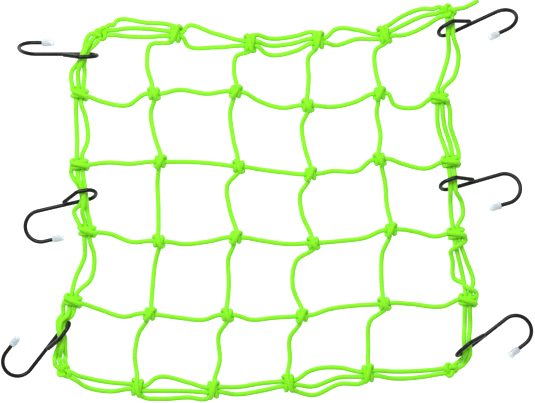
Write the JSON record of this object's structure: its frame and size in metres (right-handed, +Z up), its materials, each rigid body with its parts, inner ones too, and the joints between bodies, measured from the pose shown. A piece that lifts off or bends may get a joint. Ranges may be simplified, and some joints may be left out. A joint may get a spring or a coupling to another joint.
{
  "type": "elastic cargo net",
  "caption": "Elastic cord luggage net with knotted square cells, a multi-strand border and wire hooks with plastic tip caps.",
  "frame": {"origin": "middle of the net's box, on the surface it lies on", "axes": "+Z up from the floor, +Y towards the border that ends in the free tail's corner, +X across the net"},
  "size_m": [0.5626, 0.4261, 0.0377],
  "materials": {
    "elastic_cord": "braided, satin",
    "hook_vinyl": "smooth vinyl coat on steel wire",
    "cap_plastic": "cloudy soft plastic"
  },
  "bodies": {
    "net": {"bottom_inner_strand": "elastic_cord", "bottom_link_2": "elastic_cord", "bottom_link_4": "elastic_cord", "bottom_outer_strand": "elastic_cord", "column_cord_1": "elastic_cord", "column_cord_2": "elastic_cord", "column_cord_3": "elastic_cord", "column_cord_4": "elastic_cord", "cord_tail": "elastic_cord", "corner_knot_bottom_left": "elastic_cord", "corner_knot_bottom_right": "elastic_cord", "corner_knot_top_left": "elastic_cord", "corner_knot_top_right": "elastic_cord", "left_inner_strand": "elastic_cord", "left_link_1": "elastic_cord", "left_link_3": "elastic_cord", "left_link_5": "elastic_cord", "left_outer_strand": "elastic_cord", "right_inner_strand": "elastic_cord", "right_link_2": "elastic_cord", "right_link_4": "elastic_cord", "right_outer_strand": "elastic_cord", "row_cord_1": "elastic_cord", "row_cord_2": "elastic_cord", "row_cord_3": "elastic_cord", "row_cord_4": "elastic_cord", "top_inner_strand": "elastic_cord", "top_link_1": "elastic_cord", "top_link_3": "elastic_cord", "top_link_5": "elastic_cord", "top_outer_strand": "elastic_cord"},
    "top_left_hook": {"hook_top_left": "hook_vinyl", "cap_top_left": "cap_plastic"},
    "middle_left_hook": {"hook_middle_left": "hook_vinyl", "cap_middle_left": "cap_plastic"},
    "bottom_left_hook": {"hook_bottom_left": "hook_vinyl", "cap_bottom_left": "cap_plastic"},
    "top_right_hook": {"hook_top_right": "hook_vinyl", "cap_top_right": "cap_plastic"},
    "middle_right_hook": {"hook_middle_right": "hook_vinyl", "cap_middle_right": "cap_plastic"},
    "bottom_right_hook": {"hook_bottom_right": "hook_vinyl", "cap_bottom_right": "cap_plastic"}
  },
  "joints": [
    {"name": "top_left_swing", "type": "hinge", "parent": "net", "child": "top_left_hook", "pos_m": [-0.19346, 0.15225, 0.01159], "axis": [0.342, 0.9397, 0], "range_deg": [-90, 150]},
    {"name": "middle_left_swing", "type": "hinge", "parent": "net", "child": "middle_left_hook", "pos_m": [-0.19446, 0.00425, 0.01053], "axis": [-0.1045, 0.9945, 0], "range_deg": [-90, 150]},
    {"name": "bottom_left_swing", "type": "hinge", "parent": "net", "child": "bottom_left_hook", "pos_m": [-0.21746, -0.14075, 0.01148], "axis": [-0.1736, 0.9848, 0], "range_deg": [-90, 150]},
    {"name": "top_right_swing", "type": "hinge", "parent": "net", "child": "top_right_hook", "pos_m": [0.19304, 0.18125, 0.01053], "axis": [0.0349, -0.9994, 0], "range_deg": [-90, 110]},
    {"name": "middle_right_swing", "type": "hinge", "parent": "net", "child": "middle_right_hook", "pos_m": [0.19554, 0.01725, 0.01053], "axis": [0.0349, -0.9994, 0], "range_deg": [-90, 150]},
    {"name": "bottom_right_swing", "type": "hinge", "parent": "net", "child": "bottom_right_hook", "pos_m": [0.21054, -0.15575, 0.01148], "axis": [0.0872, -0.9962, 0], "range_deg": [-90, 150]}
  ]
}
